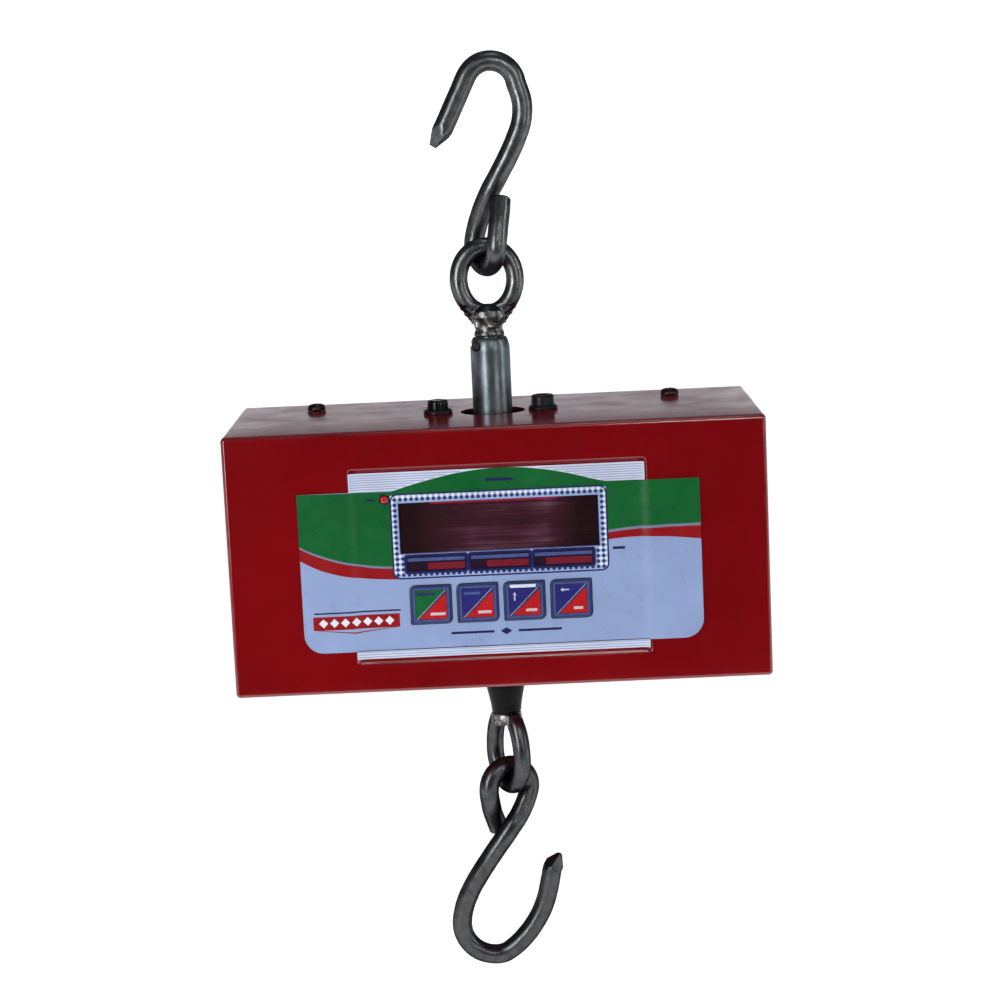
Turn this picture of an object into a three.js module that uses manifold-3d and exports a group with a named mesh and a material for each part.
// A hanging crane scale: a painted sheet-metal housing with an S-type load cell inside, a swivel ring
// and hook above it and a swivel ring and hook below it.
// Millimetres, +Z up, +Y to the back. Everything is drawn around the centre of the housing, and the
// last group moves the whole scale so that the origin is the seat of the upper hook, where the carrying
// bar bears on it.

import * as THREE from 'three';
import { mergeVertices } from 'three/addons/utils/BufferGeometryUtils.js';
import Module from 'manifold-3d';

const wasm = await Module();
wasm.setup();

// ---- driving dimensions --------------------------------------------------------------------------

const GAP = 0.3; // clearance kept between neighbouring pieces

const housing = { width: 250, ahead: 55.5, behind: 52.5, height: 122.5, sheet: 1.5, edge: 1.6 };
const pad = { x: 0.8, halfWidth: 69, top: 44.5, bottom: -48, sunk: 1.5, slope: 2, step: 0.6 };
const passage = { radius: 15.5 }; // holes in the top and bottom walls for the load string

const label = { thickness: 0.4, left: -91.5, right: 93.5, bottom: -41.3, top: 33.5, corner: 9 };
const tab = { left: -67.5, right: 68.5, top: 42, bottom: -45.2 };
const readout = { x: 0.8, z: 15.5, width: 91.5, height: 23.3 };
const indicator = { x: 0.6, z: -1.3, width: 27.6, height: 7.2, pitch: 29.4, count: 3 };
const filter = { x: 0.8, z: 11.9, width: 96.4, height: 36.4, thickness: 2 };
const chargeLamp = { x: -51.5, z: 29.4, radius: 1.75 };
const key = { x: 0.3, z: -20.6, width: 19, height: 18.2, chamfer: 2.5, pitch: 21.65, count: 4, proud: 0.6 };
const board = { x: 0.8, width: 150, bottom: -44, top: 42, front: -42.8, thickness: 1.6 };
const post = { x: 72.4, low: -40, high: 38, radius: 2.5 }; // standoffs at the corners of the board
const digit = { width: 12.7, height: 19, depth: 8, pitch: 15, count: 6 };

const rod = { hook: 4.8, ring: 4.25 }; // radii of the bent bars
const linkPlay = 0.6; // slack between a ring and the hook's eye that hangs in it
const link = rod.hook + rod.ring + linkPlay; // from the middle of one bar to the middle of the bar it hangs in

const sleeve = { radius: 9.4, top: 96.8, bottom: 41.7, bore: 5.6, boreFloor: 65, stud: 6.3, studTop: 61 };
const pin = { radius: 1.6, offset: 6.1, z: 93 };
const cell = { width: 50.8, height: 63.5, depth: 19, slot: 5 };
const coupling = { radius: 11, top: -38.4, bottom: -66.5, boreTop: -50.5, studBottom: -49, pinZ: -58.5 };
const stub = { shoulder: -74, end: -86.5, wide: 9.3, narrow: 7.1 };

const upperRing = { z: 124.5, halfWidth: 13.4, above: 15.4, below: 16.4, neck: 97.1 };
const lowerRing = { z: -108, halfWidth: 13.4, above: 21, below: 15.8, turn: -60.7 };
const upperEye = { x: 0, halfWidth: 13.2, rise: 10.6, turn: -66 };
const lowerEye = { x: -0.4, halfWidth: 10.7, rise: 11, turn: 22 };
const crown = { x: 5.6, z: 213.9, radius: 12.3, from: 153.5, to: 8 };
const upperTip = { straight: 26.5, length: 9.5, radius: 1.5 };
const lowerBend = { x: -10.6, z: -194.1, radius: 16.2, from: 175, to: 285 };
const lowerTip = { length: 6, radius: 1.2 };

const switchAt = -26.2; // x of the power switch
const socketAt = 24; // x of the charging socket
const coverScrew = { x: 86.7, y: 32, head: 4.6, rise: 3, shank: 2, length: 9 };
const collar = { radius: 7, crest: 6.4, edge: 1.2, rise: 1.8, barrel: 6 }; // flange of a top fitting
const button = { radius: 5.1, edge: 4.5, height: 6.7, bore: 5.45, boreDepth: 3.4 };
const socket = { nose: 5.4, lip: 4.9, height: 6.8, hole: 2.9, contact: 1 };
const bracket = { halfWidth: 18, z: 38.4, thickness: 3, front: -14, leg: 15, screwX: 11 };
const battery = { width: 97, depth: 24, height: 52, front: 25, bottom: -54 };

// ---- derived places ------------------------------------------------------------------------------

const wall = {
  front: -housing.ahead,
  back: housing.behind,
  top: housing.height / 2,
  side: housing.width / 2,
};
const inner = {
  front: wall.front + housing.sheet,
  back: wall.back - housing.sheet,
  top: wall.top - housing.sheet,
};
const padFront = wall.front + pad.sunk;
const padInner = inner.front + pad.sunk;
const seat = new THREE.Vector3(crown.x, 0, crown.z + crown.radius - rod.hook);

// ---- materials -----------------------------------------------------------------------------------

const finish = (color, roughness, metalness) => new THREE.MeshStandardMaterial({ color, roughness, metalness });
const paint = finish(0x7d0c12, 0.3, 0.1);
const darkSteel = finish(0x4a4a4c, 0.38, 0.9);
const blackSteel = finish(0x141414, 0.5, 0.6);
const zincSteel = finish(0xa8a8a6, 0.4, 0.9);
const alloy = finish(0xb9bbbe, 0.45, 0.8);
const blackPlastic = finish(0x121214, 0.45, 0);
const overlayFilm = finish(0x98a6cc, 0.35, 0);
const redFilter = finish(0x2a0c10, 0.15, 0);
const circuitBoard = finish(0x1f5a34, 0.5, 0);
const navyKey = finish(0x24246c, 0.4, 0);
const greenKey = finish(0x14602c, 0.4, 0);
const batteryCase = finish(0x2a2c30, 0.6, 0);
const redLens = finish(0xa01018, 0.2, 0);

// ---- solids --------------------------------------------------------------------------------------

// A closed solid from any closed three.js geometry; triangles that fold onto an edge are dropped.
function solid(geometry) {
  const bare = geometry.clone();
  for (const name of ['normal', 'uv']) bare.deleteAttribute(name);
  const merged = mergeVertices(bare, 1e-4);
  const position = merged.attributes.position.array;
  const index = merged.index.array;
  const corner = (i) => new THREE.Vector3().fromArray(position, 3 * i);
  const triangles = [];
  let volume = 0;
  for (let i = 0; i < index.length; i += 3) {
    const [a, b, c] = index.slice(i, i + 3);
    if (a === b || b === c || c === a) continue;
    triangles.push(a, b, c);
    volume += corner(a).dot(corner(b).cross(corner(c)));
  }
  if (volume < 0) triangles.reverse();
  return new wasm.Manifold(new wasm.Mesh({
    numProp: 3,
    vertProperties: new Float32Array(position),
    triVerts: new Uint32Array(triangles),
  }));
}

function geometryOf(body) {
  const mesh = body.getMesh();
  const geometry = new THREE.BufferGeometry();
  geometry.setAttribute('position', new THREE.BufferAttribute(mesh.vertProperties.slice(), 3));
  geometry.setIndex(new THREE.BufferAttribute(mesh.triVerts.slice(), 1));
  return geometry;
}

const join = (first, ...others) => others.reduce((sum, other) => sum.add(other), first);
const cut = (first, ...others) => others.reduce((rest, other) => rest.subtract(other), first);

// A box from its lowest to its highest corner.
function box(low, high) {
  const size = high.map((value, i) => value - low[i]);
  const middle = high.map((value, i) => (value + low[i]) / 2);
  return solid(new THREE.BoxGeometry(...size).translate(...middle));
}

// A turned piece about a vertical axis: profile is a list of [radius, z] from axis to axis.
function turned(profile, x = 0, y = 0, sides = 24) {
  const points = profile.map(([radius, z]) => new THREE.Vector2(radius, z));
  const lathe = new THREE.LatheGeometry(points, sides);
  return solid(lathe.rotateX(Math.PI / 2).translate(x, y, 0));
}

const cylinder = (radius, low, high, x = 0, y = 0, sides = 24) =>
  turned([[0, low], [radius, low], [radius, high], [0, high]], x, y, sides);

// A round bar along the depth of the scale.
function barAlongY(radius, from, to, x, z, sides = 20) {
  const geometry = new THREE.CylinderGeometry(radius, radius, to - from, sides);
  return solid(geometry.translate(x, (from + to) / 2, 0).translate(0, 0, z));
}

function hexagon(acrossFlats, low, high) {
  const radius = acrossFlats / Math.sqrt(3);
  const geometry = new THREE.CylinderGeometry(radius, radius, high - low, 6);
  return solid(geometry.rotateX(Math.PI / 2).translate(0, 0, (low + high) / 2));
}

// An outline in the XZ plane, pushed from y = from to y = to.
function plate(shape, from, to, options = {}) {
  const geometry = new THREE.ExtrudeGeometry(shape, { depth: to - from, bevelEnabled: false, ...options });
  return solid(geometry.rotateX(Math.PI / 2).translate(0, to, 0));
}

function rectangle(x, z, width, height) {
  const shape = new THREE.Shape();
  shape.moveTo(x - width / 2, z - height / 2);
  shape.lineTo(x + width / 2, z - height / 2);
  shape.lineTo(x + width / 2, z + height / 2);
  shape.lineTo(x - width / 2, z + height / 2);
  return shape;
}

function roundedRectangle(width, height, radius) {
  const [x, z] = [width / 2 - radius, height / 2 - radius];
  const shape = new THREE.Shape();
  shape.absarc(x, z, radius, 0, Math.PI / 2);
  shape.absarc(-x, z, radius, Math.PI / 2, Math.PI);
  shape.absarc(-x, -z, radius, Math.PI, 1.5 * Math.PI);
  shape.absarc(x, -z, radius, 1.5 * Math.PI, 2 * Math.PI);
  return shape;
}

// A round bar bent along a smooth curve through the points.
function bentBar(points, radius, steps, sides = 10) {
  const circle = new THREE.Shape().absarc(0, 0, radius, 0, 2 * Math.PI);
  const path = new THREE.CatmullRomCurve3(points, false, 'centripetal');
  const options = { steps, curveSegments: sides / 2, bevelEnabled: false, extrudePath: path };
  return solid(new THREE.ExtrudeGeometry(circle, options));
}

// The ground point of a hook, from the end of its bar onwards.
function groundPoint(end, direction, radius, tip) {
  const overlap = 0.8;
  const height = tip.length + overlap;
  const cone = new THREE.CylinderGeometry(tip.radius, radius * 0.995, height, 10);
  cone.translate(0, height / 2 - overlap, 0);
  cone.applyQuaternion(new THREE.Quaternion().setFromUnitVectors(new THREE.Vector3(0, 1, 0), direction));
  return solid(cone.translate(end.x, end.y, end.z));
}

const radians = THREE.MathUtils.degToRad;
const at = (x, y, z) => new THREE.Vector3(x, y, z);

// Points on an upright arc whose plane is turned about the vertical.
function arc({ x = 0, z, across, up, turn = 0, from, to, step = 24 }) {
  const count = Math.max(2, Math.round(Math.abs(to - from) / step));
  return Array.from({ length: count + 1 }, (_, i) => {
    const angle = radians(from + ((to - from) * i) / count);
    const side = across * Math.cos(angle);
    return at(x + side * Math.cos(radians(turn)), side * Math.sin(radians(turn)), z + up * Math.sin(angle));
  });
}

// ---- the load string -----------------------------------------------------------------------------

const eyeZ = upperRing.z + upperRing.above - link + upperEye.rise; // middle of the upper eye's round

function upperHook() {
  const round = { x: crown.x, z: crown.z, across: crown.radius, up: crown.radius };
  const bend = arc({ ...round, from: crown.from, to: crown.to });
  const heading = radians(crown.from - 90);
  const back = at(-Math.cos(heading), 0, -Math.sin(heading));
  const along = (distance) => bend[0].clone().addScaledVector(back, distance);
  const arm = [along(upperTip.straight), along(upperTip.straight / 2)];
  const shank = [
    at(20.2, 0, 206.5), at(19.6, 0, 197.5), at(16.4, 0.4, 189), at(12.1, 1.2, 180.5),
    at(7.6, 2.6, 172.6), at(3.1, 4.9, 165), at(-0.4, 7.8, 157.5), at(-3.3, 10.6, 149.6),
  ];
  const eye = arc({
    x: upperEye.x, z: eyeZ, across: upperEye.halfWidth, up: upperEye.rise,
    turn: upperEye.turn, from: 180, to: 360, step: 30,
  });
  const freeEnd = [at(6.5, -10.4, 148.6), at(7.6, -7.6, 156), at(8.3, -4.9, 162.5)];
  const bar = bentBar([...arm, ...bend, ...shank, ...eye, ...freeEnd], rod.hook, 62);
  return join(bar, groundPoint(arm[0], back, rod.hook, upperTip));
}

// A ring that closes in the weld: a taller half-ellipse towards the weld than away from it.
function ringBar({ z, halfWidth, above, below, turn = 0 }, weldUp) {
  const shared = { z, across: halfWidth, turn, step: 18 };
  const top = arc({ ...shared, up: above, from: 0, to: 180 });
  const bottom = arc({ ...shared, up: below, from: 180, to: 360 });
  const loop = [...top, ...bottom.slice(1)];
  const half = loop.length - 1;
  const start = weldUp ? half / 4 : (3 * half) / 4;
  const ordered = [...loop.slice(start, half), ...loop.slice(0, start + 1)];
  return bentBar(ordered, rod.ring, 36);
}

// The weld at the foot of a ring, flattened to the thickness of the ring.
function weld(profile, turn) {
  const flatten = 0.72;
  const points = profile.map(([radius, z]) => new THREE.Vector2(radius, z));
  const blob = new THREE.LatheGeometry(points, 24).rotateX(Math.PI / 2).scale(1, flatten, 1);
  return solid(blob.rotateZ(radians(turn)));
}

function upperRingAndStud() {
  const foot = upperRing.z - upperRing.below;
  const bead = weld([[0, upperRing.neck + 1], [7.6, upperRing.neck + 2], [8.2, foot - 4], [10.4, foot - 0.5],
    [7, foot + 3.4], [0, foot + 4.6]], 0);
  const stud = turned([
    [0, sleeve.boreFloor + 1.2], [4.6, sleeve.boreFloor + 1.2], [5.3, sleeve.boreFloor + 2],
    [5.3, pin.z - 2.2], [4.1, pin.z - 2.2], [4.1, pin.z + 2.2], [5.3, pin.z + 2.2],
    [5.3, upperRing.neck], [7.5, upperRing.neck], [7.5, upperRing.neck + 5], [0, upperRing.neck + 5],
  ], 0, 0, 20);
  return join(ringBar(upperRing, false), bead, stud);
}

function swivelSleeve() {
  const shell = turned([
    [0, sleeve.bottom], [sleeve.radius, sleeve.bottom], [sleeve.radius, sleeve.top - 5],
    [8.9, sleeve.top - 2.4], [7.9, sleeve.top], [0, sleeve.top],
  ]);
  return cut(
    shell,
    cylinder(sleeve.bore, sleeve.boreFloor, sleeve.top + 1, 0, 0, 20),
    cylinder(sleeve.stud, sleeve.bottom - 1, sleeve.studTop, 0, 0, 20),
    barAlongY(2.6, -12, 12, -pin.offset - 0.7, pin.z),
  );
}

const sleevePin = () => barAlongY(pin.radius, -6.6, 6.6, -pin.offset, pin.z, 14);

// Two turned-back slots make the S that bends under load.
function loadCell() {
  const [w, h, d] = [cell.width / 2, cell.height / 2, cell.depth / 2];
  const block = box([-w, -d, -h], [w, d, h]);
  const slotZ = 16.5;
  const reach = w - 12;
  const upper = box([-reach, -d - 1, slotZ - cell.slot / 2], [w + 1, d + 1, slotZ + cell.slot / 2]);
  const lower = box([-w - 1, -d - 1, -slotZ - cell.slot / 2], [reach, d + 1, -slotZ + cell.slot / 2]);
  const holes = [-8.5, 8.5].map((x) => barAlongY(7.5, -d - 1, d + 1, x, 0, 16));
  const thread = sleeve.stud;
  const sockets = [cylinder(thread, 20, h + 1, 0, 0, 20), cylinder(thread, -h - 1, -20, 0, 0, 20)];
  return cut(block, upper, lower, ...holes, ...sockets);
}

const cellStudTop = () => cylinder(6, 21.4, sleeve.studTop - 0.6, 0, 0, 20);
const cellStudBottom = () => cylinder(6, coupling.studBottom + 0.6, -21.4, 0, 0, 20);

function jamNut(low) {
  return cut(hexagon(18, low, low + 6), cylinder(sleeve.stud, low - 1, low + 7, 0, 0, 20));
}

function lowerCoupling() {
  const { radius, top, bottom, boreTop, studBottom, pinZ } = coupling;
  const shell = turned([
    [0, bottom], [radius - 1, bottom], [radius, bottom + 1], [radius, top], [0, top],
  ], 0, 0, 20);
  return cut(
    shell,
    cylinder(sleeve.stud, studBottom, top + 1, 0, 0, 20),
    cylinder(sleeve.bore, bottom - 1, boreTop, 0, 0, 20),
    barAlongY(pin.radius + GAP, -12, 12, pin.offset, pinZ, 14),
    barAlongY(pin.radius + GAP, -12, 12, -pin.offset, pinZ, 14),
  );
}

const couplingPin = (side) => barAlongY(pin.radius, -8, 8, side * pin.offset, coupling.pinZ, 14);

// The black tapered end piece, whose spigot turns in the coupling.
function lowerStub() {
  const top = coupling.bottom - GAP;
  const { pinZ, boreTop } = coupling;
  const body = turned([
    [0, stub.end], [stub.narrow, stub.end], [7.5, stub.end + 4], [8.3, stub.end + 8],
    [stub.wide, stub.shoulder], [stub.wide, top], [5.3, top], [5.3, pinZ - 2.2], [4.1, pinZ - 2.2],
    [4.1, pinZ + 2.2], [5.3, pinZ + 2.2], [5.3, boreTop - 1.2], [0, boreTop - 1.2],
  ], 0, 0, 20);
  return cut(body, cylinder(4.3, stub.end - 1, stub.end + 7, 0, 0, 20));
}

// The ring's spigot is plugged into the stub and its bar is welded over the stub's end.
function lowerRingAndSpigot() {
  const clear = stub.end - GAP;
  const above = box([-20, -20, clear], [20, 20, clear + 30]);
  const bead = weld([[0, clear - 5], [7.6, clear - 4.2], [7.4, clear - 1.6], [6.6, clear], [0, clear]],
    lowerRing.turn);
  const spigot = cylinder(4, clear - 2, stub.end + 6.4, 0, 0, 20);
  return join(cut(join(ringBar(lowerRing, true), bead), above), spigot);
}

const lowerEyeTop = lowerRing.z - lowerRing.below + link; // middle of the bar at the top of the lower eye

function lowerHook() {
  const eye = arc({
    x: lowerEye.x, z: lowerEyeTop - lowerEye.rise, across: lowerEye.halfWidth, up: lowerEye.rise,
    turn: lowerEye.turn, from: 180, to: 0, step: 26,
  });
  const freeEnd = [at(-6.4, 6.9, -148.4), at(-7.8, 5.6, -143.6), at(-9.2, 2.6, -138), at(-10, -1.2, -131.6)];
  const shank = [
    at(7.4, 1.8, -132.6), at(4, -0.4, -139), at(0, -2.4, -144.4), at(-4.6, -3.4, -150.4),
    at(-9, -3.4, -156.4), at(-13.4, -2.9, -162.8), at(-17.8, -2, -169.6), at(-21.8, -1, -176.8),
    at(-25.1, -0.3, -184.6),
  ];
  const { x, z, radius, from, to } = lowerBend;
  const bend = arc({ x, z, across: radius, up: radius, from, to });
  const arm = [at(0.7, 0, -205), at(7.1, 0, -198), at(11.9, 0, -190.6), at(15.2, 0, -183), at(17.4, 0, -174.6),
    at(19.2, 0, -166)];
  const bar = bentBar([...freeEnd, ...eye, ...shank, ...bend, ...arm], rod.hook, 68);
  const direction = arm[5].clone().sub(arm[4]).normalize();
  return join(bar, groundPoint(arm[5], direction, rod.hook, lowerTip));
}

// ---- the housing ---------------------------------------------------------------------------------

// The sunk field behind the label, as a block whose sloping sides start at the given depth.
function padBlock(front, slopesFrom, grow) {
  const height = pad.top - pad.bottom - 2 * (pad.slope - grow);
  const width = 2 * (pad.halfWidth - pad.slope + grow);
  const outline = rectangle(pad.x, (pad.top + pad.bottom) / 2, width, height);
  const options = { bevelEnabled: true, bevelThickness: pad.sunk, bevelSize: pad.slope, bevelSegments: 1 };
  return plate(outline, front, slopesFrom, options);
}

function keyOutline(index, grow = 0) {
  const x = key.x + (index - (key.count - 1) / 2) * key.pitch;
  const [w, h, c] = [key.width / 2 + grow, key.height / 2 + grow, key.chamfer];
  const shape = new THREE.Shape();
  shape.moveTo(x - w, key.z - h);
  shape.lineTo(x + w - c, key.z - h);
  shape.lineTo(x + w, key.z - h + c);
  shape.lineTo(x + w, key.z + h);
  shape.lineTo(x - w + c, key.z + h);
  shape.lineTo(x - w, key.z + h - c);
  return shape;
}

const keys = Array.from({ length: key.count }, (_, i) => i);
const indicatorX = (index) => indicator.x + (index - (indicator.count - 1) / 2) * indicator.pitch;
const digitX = (index) => readout.x + (index - (digit.count - 1) / 2) * digit.pitch;
const beyond = 5; // cutters reach this far past the faces that they cut

function frontCover() {
  const { width, height, sheet, edge } = housing;
  const outline = roundedRectangle(width - 2 * edge, height - 2 * edge, 0.5);
  const bevel = { bevelEnabled: true, bevelThickness: edge, bevelSize: edge, bevelSegments: 3, curveSegments: 2 };
  const block = plate(outline, wall.front + edge, wall.back + edge + beyond, bevel);
  const behind = box([-wall.side - 1, wall.back, -wall.top - 1], [wall.side + 1, 2 * wall.back, wall.top + 1]);
  const inside = box(
    [-wall.side + sheet, inner.front, -inner.top],
    [wall.side - sheet, 2 * wall.back, inner.top],
  );
  const hollow = cut(block, behind, inside);
  const shell = join(hollow, padBlock(inner.front - pad.step, inner.front, pad.step));
  const cutters = [
    padBlock(wall.front - beyond, wall.front, 0),
    cylinder(passage.radius, -2 * wall.top, 2 * wall.top, 0, 0, 40),
    plate(rectangle(filter.x, filter.z, filter.width + 2 * GAP, filter.height + 2 * GAP),
      padFront - beyond, inner.front + beyond),
    barAlongY(chargeLamp.radius + GAP, padFront - beyond, inner.front + beyond, chargeLamp.x, chargeLamp.z),
    cylinder(collar.barrel + GAP, inner.top - 1, wall.top + 1, switchAt, 0, 20),
    cylinder(collar.barrel + GAP, inner.top - 1, wall.top + 1, socketAt, 0, 20),
    ...keys.map((i) => plate(keyOutline(i, GAP), padFront - beyond, inner.front + beyond)),
    ...screwPlaces().map(({ x, side }) => cylinder(coverScrew.shank + GAP,
      Math.min(side * (wall.top + 1), side * (inner.top - 1)),
      Math.max(side * (wall.top + 1), side * (inner.top - 1)), x, coverScrew.y, 16)),
  ];
  return cut(shell, ...cutters);
}

// Two screws in the top wall and two in the bottom wall.
const screwPlaces = () => [
  { x: -coverScrew.x, side: 1 }, { x: coverScrew.x, side: 1 },
  { x: -coverScrew.x, side: -1 }, { x: coverScrew.x, side: -1 },
];

function backPanel() {
  const { sheet } = housing;
  const [x, z] = [wall.side - sheet - GAP, inner.top - GAP];
  const flange = coverScrew.y - 8;
  const tray = box([-x, flange, -z], [x, wall.back, z]);
  const hollow = box([-x - 1, flange - 1, -z + sheet], [x + 1, inner.back, z - sheet]);
  const drill = (hole) => cylinder(coverScrew.shank + GAP, hole.side * z - 2, hole.side * z + 2,
    hole.x, coverScrew.y, 16);
  const screws = [-1, 1].map((side) => barAlongY(2 + GAP, inner.back - 1, wall.back + 1,
    side * bracket.screwX, bracketScrewZ, 16));
  return cut(tray, hollow, ...screwPlaces().map(drill), ...screws);
}

// A pan-head machine screw with a slot, pointing down from z = 0.
function machineScrew() {
  const { head, rise, shank, length } = coverScrew;
  const body = turned([
    [0, -length], [shank - 0.4, -length], [shank, -length + 0.6], [shank, 0], [head, 0],
    [head, rise * 0.45], [head * 0.78, rise * 0.85], [0, rise],
  ], 0, 0, 12);
  const slot = box([-head - 1, -0.6, rise * 0.55], [head + 1, 0.6, rise + 1]);
  return cut(body, slot);
}

const bracketScrewZ = bracket.z + bracket.thickness + 8;

// An angle held on the cell's stud; its upright leg carries the back panel.
function hangerBracket() {
  const { halfWidth, z, thickness, front, leg } = bracket;
  const back = inner.back - GAP;
  const flat = box([-halfWidth, front, z], [halfWidth, back, z + thickness]);
  const upright = box([-halfWidth, back - thickness, z], [halfWidth, back, z + leg]);
  const screws = [-1, 1].map((side) => barAlongY(2 + GAP, back - thickness - 1, back + 1,
    side * bracket.screwX, bracketScrewZ, 16));
  return cut(join(flat, upright), cylinder(sleeve.stud, z - 1, z + thickness + 1, 0, 0, 20), ...screws);
}

// ---- the front: label, window, keys --------------------------------------------------------------

function labelOutline() {
  const { left, right, bottom, top, corner } = label;
  const shape = new THREE.Shape();
  shape.moveTo(tab.left, tab.bottom);
  shape.lineTo(tab.right, tab.bottom);
  shape.lineTo(tab.right, bottom);
  shape.absarc(right - corner, bottom + corner, corner, -Math.PI / 2, 0);
  shape.lineTo(right, top);
  shape.lineTo(tab.right, top);
  shape.lineTo(tab.right, tab.top);
  shape.lineTo(tab.left, tab.top);
  shape.lineTo(tab.left, top);
  shape.lineTo(left, top);
  shape.absarc(left + corner, bottom + corner, corner, Math.PI, 1.5 * Math.PI);
  shape.lineTo(tab.left, bottom);
  return shape;
}

// The film seen from above: flat on the sunk field, up its slopes and flat on the side wings.
function filmSection() {
  const wing = wall.front - GAP;
  const field = padFront - GAP;
  const rim = pad.halfWidth - 0.2;
  const foot = rim - pad.slope;
  const far = 100;
  const line = [[-far, wing], [-rim, wing], [-foot, field], [foot, field], [rim, wing], [far, wing]];
  const points = [
    ...line.map(([x, y]) => new THREE.Vector2(x + pad.x, y)),
    ...line.reverse().map(([x, y]) => new THREE.Vector2(x + pad.x, y - label.thickness)),
  ];
  const geometry = new THREE.ExtrudeGeometry(new THREE.Shape(points), { depth: 120, bevelEnabled: false });
  return solid(geometry.translate(0, 0, -60));
}

function labelOverlay() {
  const sheet = plate(labelOutline(), padFront - beyond, padInner, { curveSegments: 5 });
  const reach = [padFront - beyond, padInner];
  const windows = [
    plate(rectangle(readout.x, readout.z, readout.width, readout.height), ...reach),
    barAlongY(chargeLamp.radius + GAP, ...reach, chargeLamp.x, chargeLamp.z),
    ...Array.from({ length: indicator.count }, (_, i) =>
      plate(rectangle(indicatorX(i), indicator.z, indicator.width, indicator.height), ...reach)),
    ...keys.map((i) => plate(keyOutline(i, GAP), ...reach)),
  ];
  return cut(filmSection().intersect(sheet), ...windows);
}

function windowFilter() {
  const { x, z, width, height, thickness } = filter;
  return plate(rectangle(x, z, width, height), padFront, padFront + thickness);
}

// A key cap with a flange behind the cover, so that it can't fall out.
function keyCap(index) {
  const face = padFront - GAP - label.thickness - key.proud;
  const cap = plate(keyOutline(index), face, padInner + 1);
  const flange = plate(keyOutline(index, 1), padInner + GAP, padInner + 1.1);
  return join(cap, flange);
}

// ---- electronics ---------------------------------------------------------------------------------

const onBoard = board.front - GAP; // where parts on the front of the board begin

function circuitBoardPlate() {
  const outline = rectangle(board.x, (board.top + board.bottom) / 2, board.width, board.top - board.bottom);
  return plate(outline, board.front, board.front + board.thickness);
}

function digitModule(index) {
  const outline = rectangle(digitX(index), readout.z, digit.width, digit.height);
  return plate(outline, onBoard - digit.depth, onBoard);
}

const indicatorLamp = (index) =>
  plate(rectangle(indicatorX(index), indicator.z, indicator.width - 3, 5), onBoard - digit.depth, onBoard);

function tactSwitch(index) {
  const x = key.x + (index - (key.count - 1) / 2) * key.pitch;
  const base = plate(rectangle(x, key.z, 6, 6), onBoard - 3.5, onBoard);
  return join(base, barAlongY(1.6, padInner + 2, onBoard - 3, x, key.z, 14));
}

const standoff = (x, z) => barAlongY(post.radius, inner.front + GAP, onBoard, x, z, 12);

const chargeLampBody = () => barAlongY(chargeLamp.radius, padFront - 0.9, onBoard, chargeLamp.x, chargeLamp.z, 16);

function batteryBlock() {
  const { width, depth, height, front, bottom } = battery;
  return box([-width / 2, front, bottom], [width / 2, front + depth, bottom + height]);
}

// A steel strap over the front of the battery with a foot on the panel at each side.
function batteryStrap() {
  const { width, front, bottom, height } = battery;
  const [inside, thickness, foot, back] = [width / 2 + GAP, 1.2, 12, inner.back - GAP];
  const outside = inside + thickness;
  const z = [bottom + height / 2 - 7, bottom + height / 2 + 7];
  const bridge = box([-outside, front - GAP - thickness, z[0]], [outside, back, z[1]]);
  const feet = box([-outside - foot, back - thickness, z[0]], [outside + foot, back, z[1]]);
  const room = box([-inside, front - GAP, z[0] - 1], [inside, back + 1, z[1] + 1]);
  return cut(join(bridge, feet), room);
}

const onTop = wall.top + GAP; // where the flange of a top fitting rests

// A fitting's barrel inside the housing and its flange on the top wall, up to the flange's crest.
const collarProfile = (bottom) => [
  [0, bottom], [collar.barrel - 0.6, bottom], [collar.barrel, bottom + 1], [collar.barrel, onTop],
  [collar.radius, onTop], [collar.radius, onTop + collar.edge], [collar.crest, onTop + collar.rise],
];

function switchBody() {
  const shell = turned([...collarProfile(44), [0, onTop + collar.rise]], switchAt, 0, 20);
  return cut(shell, cylinder(button.bore, onTop - button.boreDepth, onTop + beyond, switchAt, 0, 20));
}

function powerButton() {
  const { radius, edge, height } = button;
  return turned([
    [0, onTop - 0.4], [radius, onTop - 0.4], [radius, onTop + height - 0.9],
    [edge, onTop + height - 0.2], [0, onTop + height],
  ], switchAt, 0, 20);
}

// A panel jack: a tall round nose with the plug's hole and its centre contact.
function chargingSocket() {
  const { nose, lip, height, hole, contact } = socket;
  const shell = turned([
    ...collarProfile(46), [nose + 0.1, onTop + collar.rise], [nose, onTop + height - 0.6],
    [lip, onTop + height], [0, onTop + height],
  ], socketAt, 0, 20);
  const opening = cylinder(hole, onTop - 3, onTop + height + 1, socketAt, 0, 20);
  return join(cut(shell, opening), cylinder(contact, onTop - 4, onTop + height - 1.8, socketAt, 0, 10));
}

function panelNut(x) {
  const high = inner.top - GAP;
  const ring = hexagon(15, high - 2.4, high).translate(x, 0, 0);
  return cut(ring, cylinder(collar.barrel + GAP, high - 4, high + 1, x, 0, 20));
}

const cellCable = () => bentBar([
  at(-26, 0, 3), at(-34, -1, 2), at(-44, -6, -3), at(-52, -16, -10), at(-54, -27, -17), at(-54, -35, -20),
  at(-54, -40.8, -20),
], 1.8, 14, 8);

const batteryLead = () => bentBar([
  at(40, 24.2, -16), at(41.5, 18, -15), at(47, 6, -13), at(52, -10, -12), at(54, -25, -12), at(54, -34, -12),
  at(54, -40.8, -12),
], 1.6, 14, 8);

// ---- assembly ------------------------------------------------------------------------------------

const scale = new THREE.Group();
scale.position.copy(seat).negate();

function add(name, body, material, place = [0, 0, 0], turn = [0, 0, 0]) {
  const mesh = new THREE.Mesh(geometryOf(body), material);
  mesh.name = name;
  mesh.position.set(...place);
  mesh.rotation.set(...turn);
  scale.add(mesh);
}

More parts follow.
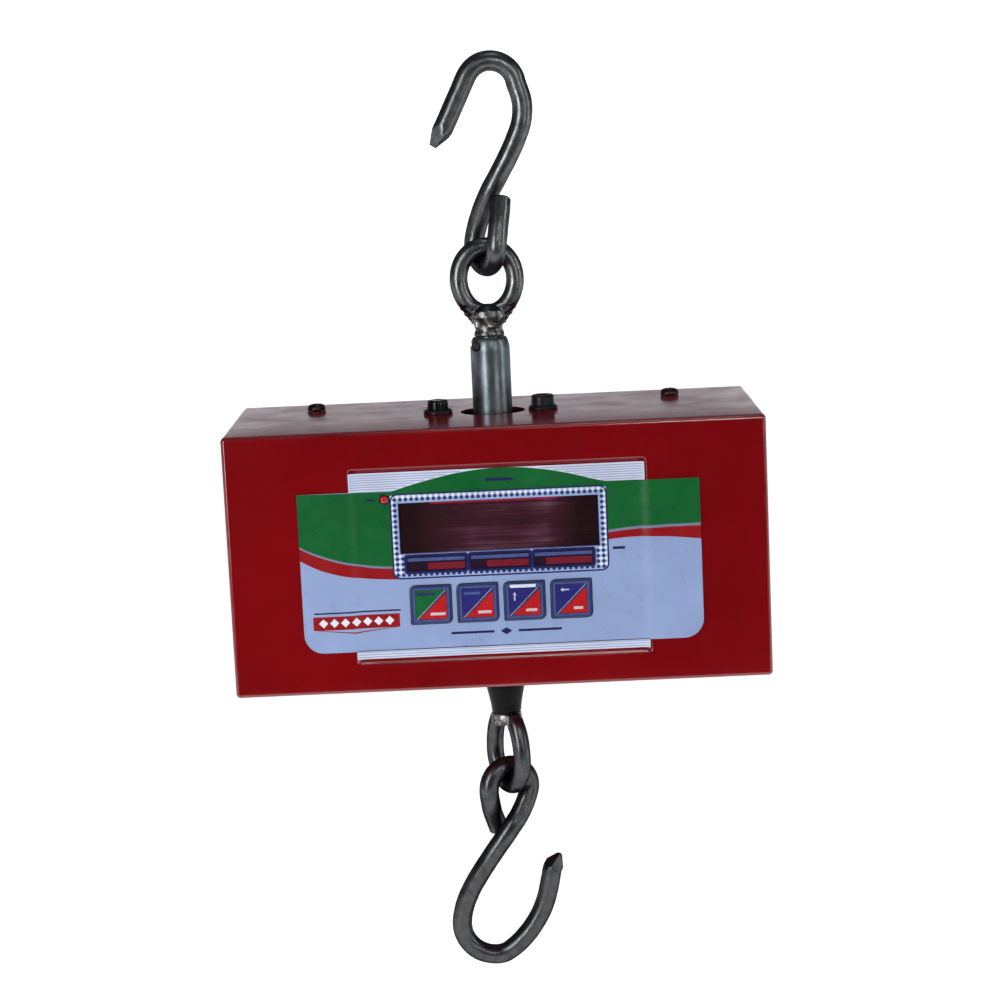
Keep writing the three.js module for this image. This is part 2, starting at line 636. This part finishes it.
add('upper_hook', upperHook(), darkSteel);
add('upper_ring', upperRingAndStud(), darkSteel);
add('swivel_sleeve', swivelSleeve(), darkSteel);
add('sleeve_pin', sleevePin(), zincSteel);
add('load_cell', loadCell(), alloy);
add('cell_stud_upper', cellStudTop(), zincSteel);
add('cell_stud_lower', cellStudBottom(), zincSteel);
add('jam_nut_upper', jamNut(cell.height / 2 + GAP), zincSteel);
add('jam_nut_lower', jamNut(-cell.height / 2 - GAP - 6), zincSteel);
add('lower_coupling', lowerCoupling(), darkSteel);
add('coupling_pin_1', couplingPin(-1), zincSteel);
add('coupling_pin_2', couplingPin(1), zincSteel);
add('lower_stub', lowerStub(), blackSteel);
add('lower_ring', lowerRingAndSpigot(), darkSteel);
add('lower_hook', lowerHook(), darkSteel);

add('front_cover', frontCover(), paint);
add('back_panel', backPanel(), paint);
screwPlaces().forEach(({ x, side }, i) => {
  const height = side * (wall.top + GAP);
  add(`cover_screw_${i + 1}`, machineScrew(), zincSteel, [x, coverScrew.y, height], [side > 0 ? 0 : Math.PI, 0, 0]);
});
add('hanger_bracket', hangerBracket(), zincSteel);
[-1, 1].forEach((side, i) => {
  const place = [side * bracket.screwX, wall.back + GAP, bracketScrewZ];
  add(`bracket_screw_${i + 1}`, machineScrew(), zincSteel, place, [-Math.PI / 2, 0, 0]);
});

add('label_overlay', labelOverlay(), overlayFilm);
add('window_filter', windowFilter(), redFilter);
keys.forEach((i) => add(`key_${i + 1}`, keyCap(i), i === 0 ? greenKey : navyKey));
add('charge_lamp', chargeLampBody(), redLens);
add('circuit_board', circuitBoardPlate(), circuitBoard);
for (let i = 0; i < digit.count; i += 1) add(`digit_${i + 1}`, digitModule(i), blackPlastic);
for (let i = 0; i < indicator.count; i += 1) add(`indicator_${i + 1}`, indicatorLamp(i), redLens);
keys.forEach((i) => add(`tact_switch_${i + 1}`, tactSwitch(i), blackPlastic));
[[-post.x, post.low], [post.x, post.low], [-post.x, post.high], [post.x, post.high]].forEach(([x, z], i) =>
  add(`standoff_${i + 1}`, standoff(board.x + x, z), zincSteel));

add('battery', batteryBlock(), batteryCase);
add('battery_strap', batteryStrap(), zincSteel);
add('switch_body', switchBody(), blackPlastic);
add('power_button', powerButton(), blackPlastic);
add('switch_nut', panelNut(switchAt), zincSteel);
add('charging_socket', chargingSocket(), blackPlastic);
add('socket_nut', panelNut(socketAt), zincSteel);
add('cell_cable', cellCable(), blackPlastic);
add('battery_lead', batteryLead(), blackPlastic);

export default scale;
